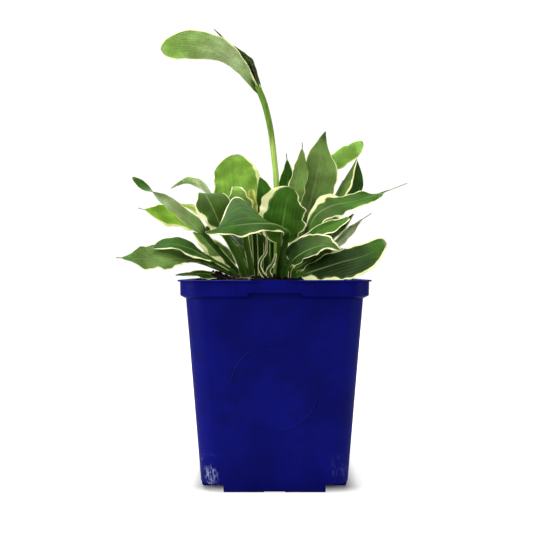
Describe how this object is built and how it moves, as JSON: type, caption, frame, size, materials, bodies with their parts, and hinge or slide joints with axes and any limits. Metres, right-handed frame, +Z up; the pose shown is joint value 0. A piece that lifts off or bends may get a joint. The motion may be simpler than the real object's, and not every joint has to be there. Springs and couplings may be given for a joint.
{
  "type": "potted hosta plant",
  "caption": "Hosta with broad cream-edged green leaves and a bare flower stem with a bract at its head, growing in soil in a square blue plastic nursery pot.",
  "frame": {"origin": "middle of the pot's base, on the surface that its feet stand on", "axes": "+Z up; the pot's front, as pictured, faces -Y; +X is to the right seen from the front"},
  "size_m": [0.2545, 0.157, 0.3964],
  "materials": {
    "pot": "moulded polypropylene, satin, royal blue",
    "soil": "damp dark potting mix",
    "leaf": "living leaf, satin green with cream margins",
    "flower_stem": "living stem, smooth yellow-green"
  },
  "bodies": {
    "root": {"pot": "pot", "soil": "soil", "flower_stem": "flower_stem", "leaf_back_round": "leaf", "leaf_centre_broad": "leaf", "leaf_centre_dark": "leaf", "leaf_centre_slim": "leaf", "leaf_centre_small": "leaf", "leaf_centre_tall": "leaf", "leaf_front_broad": "leaf", "leaf_front_wavy": "leaf", "leaf_left_arched": "leaf", "leaf_left_back": "leaf", "leaf_left_dark": "leaf", "leaf_left_folded": "leaf", "leaf_left_inner": "leaf", "leaf_left_long": "leaf", "leaf_left_low": "leaf", "leaf_left_middle": "leaf", "leaf_rear_left": "leaf", "leaf_rear_low": "leaf", "leaf_rear_low_left": "leaf", "leaf_rear_low_right": "leaf", "leaf_rear_right": "leaf", "leaf_rear_tall": "leaf", "leaf_right_cupped": "leaf", "leaf_right_folded": "leaf", "leaf_right_inner": "leaf", "leaf_right_long": "leaf", "leaf_right_low": "leaf", "leaf_right_narrow": "leaf", "leaf_right_shaded": "leaf", "leaf_right_tall": "leaf", "leaf_right_top": "leaf", "leaf_rim_left": "leaf", "new_shoot": "leaf"}
  },
  "joints": []
}
